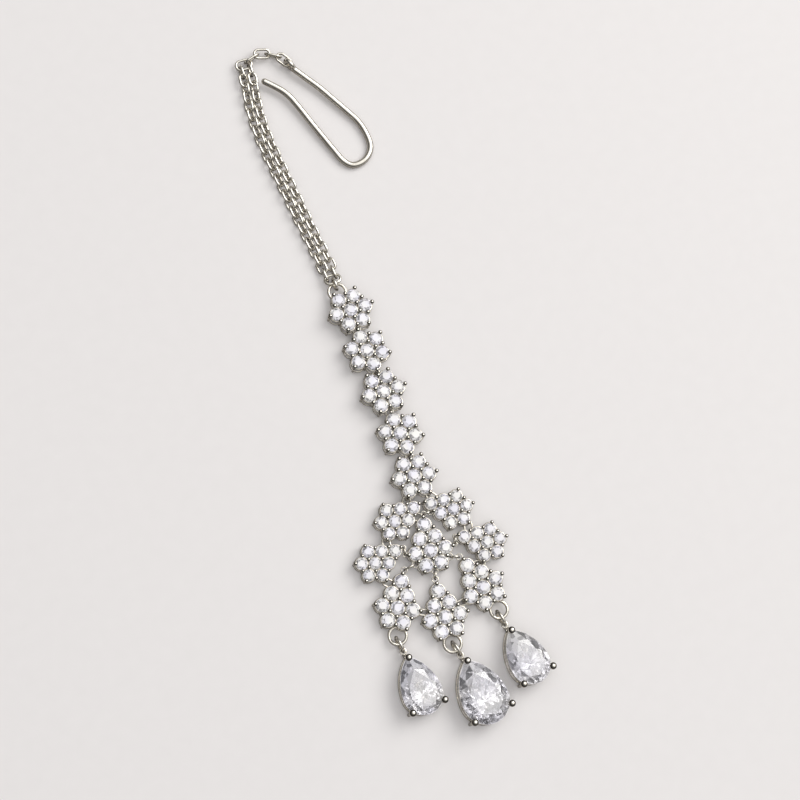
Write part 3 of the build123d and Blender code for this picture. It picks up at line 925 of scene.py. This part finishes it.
for name, cluster in clusters.items():
    seats = [(on_base(cluster, *seat), cluster["axes"], SEAT_KIND) for seat in cluster["seats"]]
    uprights = []
    for distance, angle, lean in prong_spots(cluster):
        for reach, kind in ((distance, PRONG_KIND), (distance - lean, BEAD_KIND)):
            uprights.append((on_base(cluster, *heading_of(reach, angle)), cluster["axes"], kind))
    sizes = {
        "Ring": float(RING_SHARE * cluster["pitch"]),
        "Ring_Wire": RING_WIRE_SIZE * mm,
        "Base_Height": BASE_MIDDLE * mm,
        "Seat_Height": SEAT_MIDDLE * mm,
        "Prong": float(PRONG_SHARE * cluster["pitch"]),
        "Prong_Height": PRONG_TOP * mm,
        "Bead": float(BEAD_SHARE * cluster["pitch"]),
    }
    parts = [
        grow(f"{name}_{part}", seed_points(f"{name} {part}", rows), BASKET_TREE, Material=metal, **sizes)
        for part, rows, metal in (("rings", seats, wire_metal), ("prongs", uprights, prong_metal))
    ]
    soldered = soldered_places(name, cluster)
    if soldered:
        parts.append(wire_loops(name + "_soldered", soldered, wire_metal))
    dress(joined(name + "_basket", parts), "bright_metal", name + "_setting")
    print(name, "prongs:", len(uprights) // 2, "loops and eyelets:", len(soldered))

# %% [markdown]
# ## The pear baskets
#
# A pear sits on two rails that follow its outline, one at the table top and one under the girdle. Three
# stout prongs rise outside the rails, one at the tip and two at the round end, each with a polished ball.
# The rails are a band swept along the outline. The same tree makes both, because the outline is given to
# it as a closed line of edges.

# %% Rails along an outline
RAIL_ROUNDING, RAIL_CORNER_STEPS = 0.35, 3  # a corner's radius over the rail's thickness
RAIL_TREE, given, out = new_tree("rails", ["Wide", "Thick", "Low", "High"])
line = node(RAIL_TREE, "GeometryNodeMeshToCurve", Mesh=given["Geometry"])
bar = node(
    RAIL_TREE,
    "GeometryNodeCurvePrimitiveQuadrilateral",
    Width=given["Wide"],
    Height=given["Thick"],
)
corner_radius = math(RAIL_TREE, "MULTIPLY", given["Thick"], RAIL_ROUNDING)
soft_bar = rounded_corners(RAIL_TREE, bar.outputs[0], corner_radius, RAIL_CORNER_STEPS)
rail = node(RAIL_TREE, "GeometryNodeCurveToMesh", Curve=line.outputs[0], Profile_Curve=soft_bar)
rails = [raised(RAIL_TREE, rail.outputs[0], given[level]) for level in ("Low", "High")]
close_tree(RAIL_TREE, rails, out, given["Material"])
print("rail tree nodes:", len(RAIL_TREE.nodes))

# %% Rails of a pear
RAIL_WIDE, RAIL_THICK, RAIL_LOW, RAIL_HIGH = 0.42, 0.34, 0.175, 2.075  # mm
OUTLINE_TURN = 2.5  # degrees between two points of a rail


def pear_rails(side, pear):
    """The two rails of a pear's basket, round the pear's own middle."""
    edge = pear_reach(pear["width"], pear["tip"], RAIL_WIDE / 2 * mm)
    around = [OUTLINE_TURN * k for k in range(int(360 / OUTLINE_TURN))]
    outline = [(edge(a) * sin(radians(a)), edge(a) * cos(radians(a)), 0.0) for a in around]
    return grow(
        f"pear_{side}_rails",
        seed_line(f"pear {side} outline", outline, closed=True),
        RAIL_TREE,
        Wide=RAIL_WIDE * mm,
        Thick=RAIL_THICK * mm,
        Low=RAIL_LOW * mm,
        High=RAIL_HIGH * mm,
        Material=wire_metal,
    )


print("points round a rail:", int(360 / OUTLINE_TURN))

# %% Prongs of a pear
PEAR_BALL, BALL_OUT, PEAR_PRONG, PRONG_OUT, BALL_RISE = 0.6, 0.22, 0.3, 0.38, 0.7  # mm
TIP_PRONG, TIP_OUT, TIP_BALL_IN, TIP_RISE = 0.25, 0.3, 0.35, 0.8
TAB_WIDE, TAB_LONG, TAB_OUT = 0.34, 0.72, 0.13
PRONG_TURNS = {"left": 36.6, "middle": 33.8, "right": 36.6}  # degrees below the cross axis
POST_SIDES, BALL_SEGMENTS, BALL_ROWS = 20, 32, 20
FOOT_RISE, FOOT_SHARE, NECK_START, NECK_SHARE = 0.06, 0.92, 0.85, 0.9  # mm, then shares of the post


def lathe_post(metal, post, ball, height, radius):
    """A round post from the table up, which leans at its top under the ball that sits on it."""
    levels = (
        (0.0, FOOT_SHARE),
        (FOOT_RISE * mm, 1.0),
        (height * NECK_START, 1.0),
        (height, NECK_SHARE),
    )
    rings = []
    for level, share in levels:
        lean = (level / height) ** 4
        x, y = (start + (end - start) * lean for start, end in zip(post, ball))
        angles = [2 * pi * k / POST_SIDES for k in range(POST_SIDES)]
        spots = [(x + radius * share * cos(a), y + radius * share * sin(a), level) for a in angles]
        rings.append([metal.verts.new(spot) for spot in spots])
    for low, high in zip(rings, rings[1:]):
        for k in range(POST_SIDES):
            after = (k + 1) % POST_SIDES
            metal.faces.new((low[k], low[after], high[after], high[k]))
    metal.faces.new(rings[0][::-1])
    metal.faces.new(rings[-1])
    add_ball(metal, (*ball, height), PEAR_BALL * mm, BALL_SEGMENTS, BALL_ROWS)


def bridges(metal, x, y, angle):
    """Two short bars that join the rails to a post."""
    turn = Matrix.Rotation(radians(angle), 4, "Z")
    size = Matrix.Diagonal((TAB_LONG * mm, TAB_WIDE * mm, RAIL_THICK * mm, 1))
    for low in (RAIL_LOW, RAIL_HIGH):
        place = Matrix.Translation((x, y, low * mm))
        bmesh.ops.create_cube(metal, size=1.0, matrix=place @ turn @ size)


def pear_prongs(side, pear):
    """The posts and balls of a pear's basket, and the bars to its rails."""
    metal = bmesh.new()
    half, tip, girdle_top = pear["width"] / 2, pear["tip"], pear["heights"][2]
    for turn in (-PRONG_TURNS[side], 180 + PRONG_TURNS[side]):
        post, ball = (heading_of(half + out_by * mm, turn) for out_by in (PRONG_OUT, BALL_OUT))
        lathe_post(metal, post, ball, girdle_top + BALL_RISE * mm, PEAR_PRONG * mm)
        bridges(metal, *heading_of(half + TAB_OUT * mm, turn), turn)
    post, ball = (0.0, tip + TIP_OUT * mm), (0.0, tip - TIP_BALL_IN * mm)
    lathe_post(metal, post, ball, girdle_top + TIP_RISE * mm, TIP_PRONG * mm)
    bridges(metal, 0.0, tip + (TIP_OUT - TAB_LONG / 2) * mm, 90)
    return smooth_piece(f"pear_{side}_prongs", metal, prong_metal)


print("balls on the pears:", 3 * len(pears))

# %% [markdown]
# A small ring, the bail, is soldered to the tip's post. It lies flat, and the drop ring runs through it.
# It stands on the side of the post that faces the drop ring, whose place comes from the CAD.

# %% Pear baskets
BAIL_HEIGHT, BAIL_HOLE, BAIL_OUTER = 1.55, 0.72, 1.26  # mm


def pear_bail(side, pear):
    """The soldered ring that the drop ring runs through."""
    ring_middle = ring_places[f"drop_ring_{side}"][0][0]
    post = pear["origin"] + pear["axes"][1] * (pear["tip"] + TIP_OUT * mm)
    toward = unit((ring_middle - post) * [1, 1, 0])
    middle = post + toward * (TIP_PRONG + BAIL_HOLE / 2) * mm + np.array([0, 0, BAIL_HEIGHT * mm])
    size = np.array([BAIL_OUTER, BAIL_OUTER, (BAIL_OUTER - BAIL_HOLE) / 2]) * mm
    return wire_loops(f"pear_{side}_bail", [(middle, np.eye(3), size)], wire_metal)


for side, pear in pears.items():
    parts = [pear_rails(side, pear), pear_prongs(side, pear)]
    for piece in parts:
        piece.data.transform(stand_pear(pear))
    basket = joined(f"pear_{side}_basket", parts + [pear_bail(side, pear)])
    dress(basket, "bright_metal", f"pear_{side}_setting")
    print(side, "pear basket, girdle top in mm:", round(pear["heights"][2] / mm, 2))

# %% [markdown]
# ## The hair hook
#
# The hook is one thick wire, bent by hand into a long open hairpin with an eye at its end. A wire bent by
# hand has no sharp corners, so a Catmull-Rom curve is right for it: the curve passes through every point
# and turns softly in between. The points lie in the hook's own plane, which rises a little from the bend
# to the eye. Geometry Nodes sweep a round section along the curve, and the finished hook is slid to the
# middle of the box of the CAD's hook.

# %% A bent wire
HOOK_STEPS, HOOK_SIDES = 240, 28
WIRE_TREE, given, out = new_tree("bent wire", ["Wire"])
bent = node(WIRE_TREE, "GeometryNodeMeshToCurve", Mesh=given["Geometry"])
soft = node(WIRE_TREE, "GeometryNodeCurveSplineType", Curve=bent.outputs[0])
soft.spline_type = "CATMULL_ROM"
fine = node(WIRE_TREE, "GeometryNodeResampleCurve", Curve=soft.outputs[0], Count=HOOK_STEPS)
drawn = wire_along(WIRE_TREE, fine.outputs[0], given["Wire"], HOOK_SIDES, caps=True)
close_tree(WIRE_TREE, [drawn], out, given["Material"])
print("wire tree nodes:", len(WIRE_TREE.nodes))

# %% Hook
HOOK_WIRE, HOOK_TURN, HOOK_RISE = 1.08, 116.0, 2.06  # mm, and degrees
# how far each point lies along the hook and across it, in mm, from the eye to the free end
HOOK_LINE = [
    (16.9, 2.28), (13.95, 2.77), (11.32, 3.21), (8.54, 3.45), (5.49, 3.71), (2.85, 3.83), (0.49, 3.36),
    (-1.63, 2.33), (-2.63, 0.73), (-2.67, -1.0), (-1.88, -2.44), (-0.23, -3.0), (2.4, -2.82),
    (5.44, -2.52), (8.51, -2.2), (11.29, -1.87), (13.36, -1.71), (14.96, -1.8), (16.68, -2.26),
    (18.59, -2.95),
]
HOOK_EYE, EYE_WIDE, EYE_WIRE = (17.82, 2.33), 2.6, 0.8
TIP_SEGMENTS, TIP_ROWS = 28, 18

turn, rise = radians(HOOK_TURN), radians(HOOK_RISE)
hook_along = np.array([cos(turn) * cos(rise), sin(turn) * cos(rise), sin(rise)])
hook_across = np.array([sin(turn), -cos(turn), 0.0])


def on_hook(along, across):
    """A point of the hook's plane, in metres from the plane's middle."""
    return (hook_along * along + hook_across * across) * mm


line = seed_line("hook line", [on_hook(*spot) for spot in HOOK_LINE], closed=False)
shank = grow("hair_hook_shank", line, WIRE_TREE, Wire=HOOK_WIRE * mm, Material=hook_metal)
eye_axes = np.array([hook_along, np.cross(hook_across, hook_along), hook_across])
eye_size = np.array([EYE_WIDE, EYE_WIDE, EYE_WIRE]) * mm
eye = wire_loops("hair_hook_eye", [(on_hook(*HOOK_EYE), eye_axes, eye_size)], hook_metal)
ball = bmesh.new()
add_ball(ball, on_hook(*HOOK_LINE[-1]), HOOK_WIRE / 2 * mm, TIP_SEGMENTS, TIP_ROWS)
tip = smooth_piece("hair_hook_tip", ball, hook_metal)
hook_piece = joined("hair_hook_wire", [shank, eye, tip])
corners = np.array([tuple(vertex.co) for vertex in hook_piece.data.vertices])
cad_low, cad_high = (np.array(corner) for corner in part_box("hair_hook"))
slide = (cad_low + cad_high - corners.min(0) - corners.max(0)) / 2
hook_piece.data.transform(Matrix.Translation(slide))
dress(hook_piece, "bright_metal", "hair_hook")
print("hook size in mm:", np.ptp(corners, axis=0) / mm, "CAD:", (cad_high - cad_low) / mm)

# %% [markdown]
# ## Floor, light and camera
#
# The jewel lies on pale paper. Polished metal shows what is round it more than its own colour, so the
# light matters as much as the metal: one large soft window high on the right, a glow from overhead that
# lifts the shadows, and a room that is dark away from the window. The dark room draws the dark rims of
# the beads and wires, and the metal's colour paints them in as well. What the metal, the stones and the
# paper see of the room is set apart: the metal sees cards of light round the window, light inside a stone
# sees soft bright patches, and everything else gets the overhead glow. The metal also sees the paper a
# little darker than it is: a painted reflection, since the paper takes a darker colour for mirrored rays.


# %% Floor
PAPER_DARK, PAPER_LIGHT = (0.79, 0.77, 0.765), (0.82, 0.8, 0.795)
PAPER_IN_METAL = (0.5, 0.475, 0.455, 1)
PAPER_ROUGH, PAPER_SHINE, FIBRE_SCALE = 0.85, 0.2, 400
FLOOR_SIZE = 2.0


def mirror_rays(tree):
    """A socket that is 1 for rays that a shiny surface has thrown back, and 0 for all others."""
    rays = tree.nodes.new("ShaderNodeLightPath")
    return math(tree, "SUBTRACT", rays.outputs["Is Glossy Ray"], rays.outputs["Is Transmission Ray"])


paper, tree, skin = new_material("pale paper")
skin["Roughness"].default_value = PAPER_ROUGH
skin["Specular IOR Level"].default_value = PAPER_SHINE
place = tree.nodes.new("ShaderNodeTexCoord").outputs["Object"]
fibres = node(tree, "ShaderNodeTexNoise", Vector=place, Scale=FIBRE_SCALE, Detail=4.0)
tone = ramp(tree, fibres.outputs[0], ((0.0, PAPER_DARK), (1.0, PAPER_LIGHT)))
# Painted reflection: rays thrown back by the metal see the paper in a darker colour than it has.
paper_with_painted_reflection = mixed(tree, mirror_rays(tree), tone, PAPER_IN_METAL)
tree.links.new(paper_with_painted_reflection.outputs[2], skin["Base Color"])
bpy.ops.mesh.primitive_plane_add(size=FLOOR_SIZE, location=(0, 0, 0))
floor = bpy.context.object
floor.name = "floor"
floor.data.materials.append(paper)
print("floor:", floor.name, "paper:", paper.name)

# %% Window
WINDOW_AZIMUTH, WINDOW_HEIGHT = 18.0, 47.0  # degrees from +X and above the floor
WINDOW_DISTANCE, WINDOW_WIDE, WINDOW_POWER = 0.9, 0.7, 4.0
WARM_WHITE = (1.0, 0.985, 0.96)
JEWEL_MIDDLE = Vector((0.003, -0.005, 0.0))

light = bpy.data.lights.new("window", "AREA")
light.shape, light.size, light.energy, light.color = "DISK", WINDOW_WIDE, WINDOW_POWER, WARM_WHITE
window = new_object("window", light)
flat, rise = heading_of(WINDOW_DISTANCE, WINDOW_HEIGHT)
window.location = JEWEL_MIDDLE + Vector((*heading_of(flat, WINDOW_AZIMUTH), rise))
window.rotation_euler = (JEWEL_MIDDLE - window.location).to_track_quat("-Z", "Y").to_euler()
print("window at:", tuple(round(value, 3) for value in window.location))


# %% Room
TOWARD_CARDS = (0.5, 0.15, 0.853)
FIRE_SCALE = 3.2
BLACK, WHITE = (0.0, 0.0, 0.0), (1.0, 1.0, 1.0)
CARD_TONES = ((0.0, 0.1), (0.5, 0.13), (0.75, 0.8), (0.9, 1.25))
FIRE_TONES, FIRE_WHITE = ((0.38, 0.08), (0.46, 0.4), (0.53, 1.4), (0.6, 2.6)), (1.0, 0.985, 1.0)
OVERHEAD_TONES, OVERHEAD_WHITE = ((0.55, 0.42), (0.93, 1.2)), (1.0, 0.99, 0.99)


def tinted(tones, white):
    """Stops of a ramp from positions and tones of one white."""
    return [(position, tuple(tone * part for part in white)) for position, tone in tones]


world = bpy.data.worlds.new("studio")
world.use_nodes = True
tree = world.node_tree
sky = tree.nodes.new("ShaderNodeTexCoord").outputs["Generated"]
toward_window = node(tree, "ShaderNodeVectorMath", Vector=sky)
toward_window.operation = "DOT_PRODUCT"
toward_window.inputs[1].default_value = TOWARD_CARDS
cards = ramp(tree, toward_window.outputs["Value"], [*tinted(CARD_TONES, WARM_WHITE), (1.0, WHITE)])
patches = node(tree, "ShaderNodeTexNoise", Vector=sky, Scale=FIRE_SCALE, Detail=0.0)
fire = ramp(tree, patches.outputs[0], [(0.0, BLACK), *tinted(FIRE_TONES, FIRE_WHITE), (1.0, WHITE)])
height = node(tree, "ShaderNodeSeparateXYZ", Vector=sky)
overhead = ramp(
    tree,
    height.outputs[2],
    [(0.0, BLACK), *tinted(OVERHEAD_TONES, OVERHEAD_WHITE), (1.0, WHITE)],
)
rays = tree.nodes.new("ShaderNodeLightPath")
inside = mixed(tree, rays.outputs["Is Transmission Ray"], overhead, fire)
room = mixed(tree, mirror_rays(tree), inside.outputs[2], cards)
tree.links.new(room.outputs[2], tree.nodes["Background"].inputs[0])
bpy.context.scene.world = world
bpy.context.scene.view_settings.view_transform = "Standard"
print("room nodes:", len(tree.nodes))

# %% [markdown]
# The camera looks steeply down, leaning a little from the lower left. It is rolled so that the jewel lies
# from the upper left to the lower right of the frame.

# %% Camera
TARGET = Vector((3.09, -4.86, 0.0)) * mm
DISTANCE, LENS, SENSOR, NEAREST = 0.34, 91.8, 36.0, 0.01
ELEVATION, AZIMUTH, ROLL = 76.0, -55.5, 20.0

camera_data = bpy.data.cameras.new("camera")
camera_data.lens, camera_data.sensor_width = LENS, SENSOR
camera_data.clip_start = NEAREST
camera = new_object("camera", camera_data)
flat = cos(radians(ELEVATION))
forward = Vector(
    (-flat * sin(radians(AZIMUTH)), flat * cos(radians(AZIMUTH)), -sin(radians(ELEVATION)))
)
up_in_frame = Vector((sin(radians(ROLL)), cos(radians(ROLL)), 0.0))
right = forward.cross(up_in_frame).normalized()
up = right.cross(forward)
camera.matrix_world = Matrix.Translation(TARGET - forward * DISTANCE) @ Matrix(
    (right, up, -forward)
).transposed().to_4x4()
bpy.context.scene.camera = camera
print("camera at:", tuple(round(value, 4) for value in camera.location))
